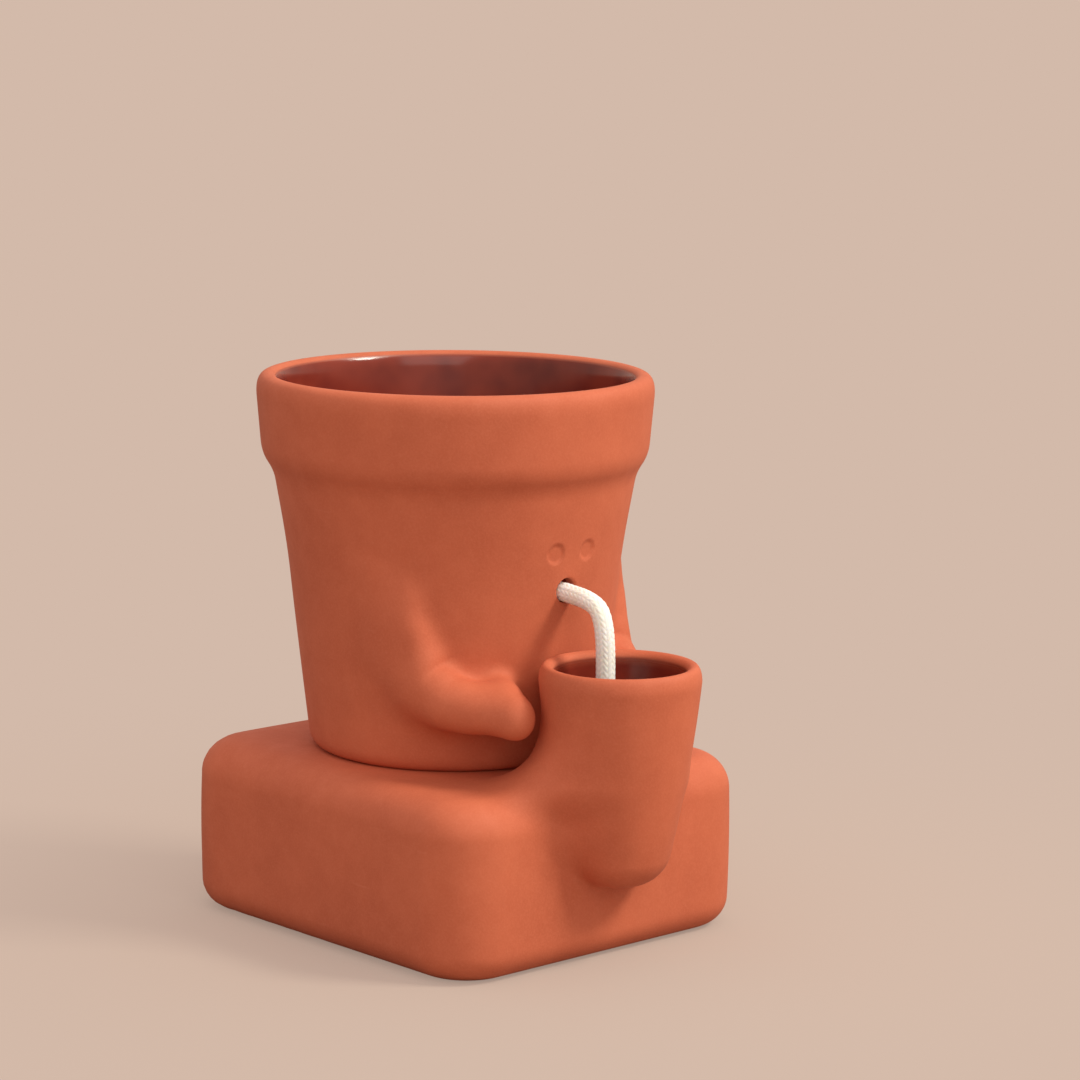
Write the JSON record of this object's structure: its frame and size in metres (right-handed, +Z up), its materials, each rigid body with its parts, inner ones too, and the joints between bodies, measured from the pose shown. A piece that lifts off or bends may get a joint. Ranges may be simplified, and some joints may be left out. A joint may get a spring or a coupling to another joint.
{
  "type": "self-watering planter",
  "caption": "Terracotta plant pot with arms and a mouth hole, standing on a hollow water base with a cup; a cotton wick hangs from the hole into the cup.",
  "frame": {"origin": "point of the base's flat underside on the pot's vertical axis", "axes": "+Z up along the pot's axis, -Y towards the cup and the face, +X to the pot's own left arm"},
  "size_m": [0.1294, 0.1701, 0.1792],
  "materials": {
    "terracotta": "matte fired clay, glossy dark red-brown glaze inside the pot and the cup",
    "cotton": "natural braided cotton"
  },
  "bodies": {
    "base": {"base_with_cup": "terracotta"},
    "pot": {"pot": "terracotta", "wick_outside": "cotton", "wick_inside": "cotton"}
  },
  "joints": [
    {"name": "pot_lift", "type": "slide", "parent": "base", "child": "pot", "axis": [0, 0, 1], "range_m": [0, 0.1]}
  ]
}
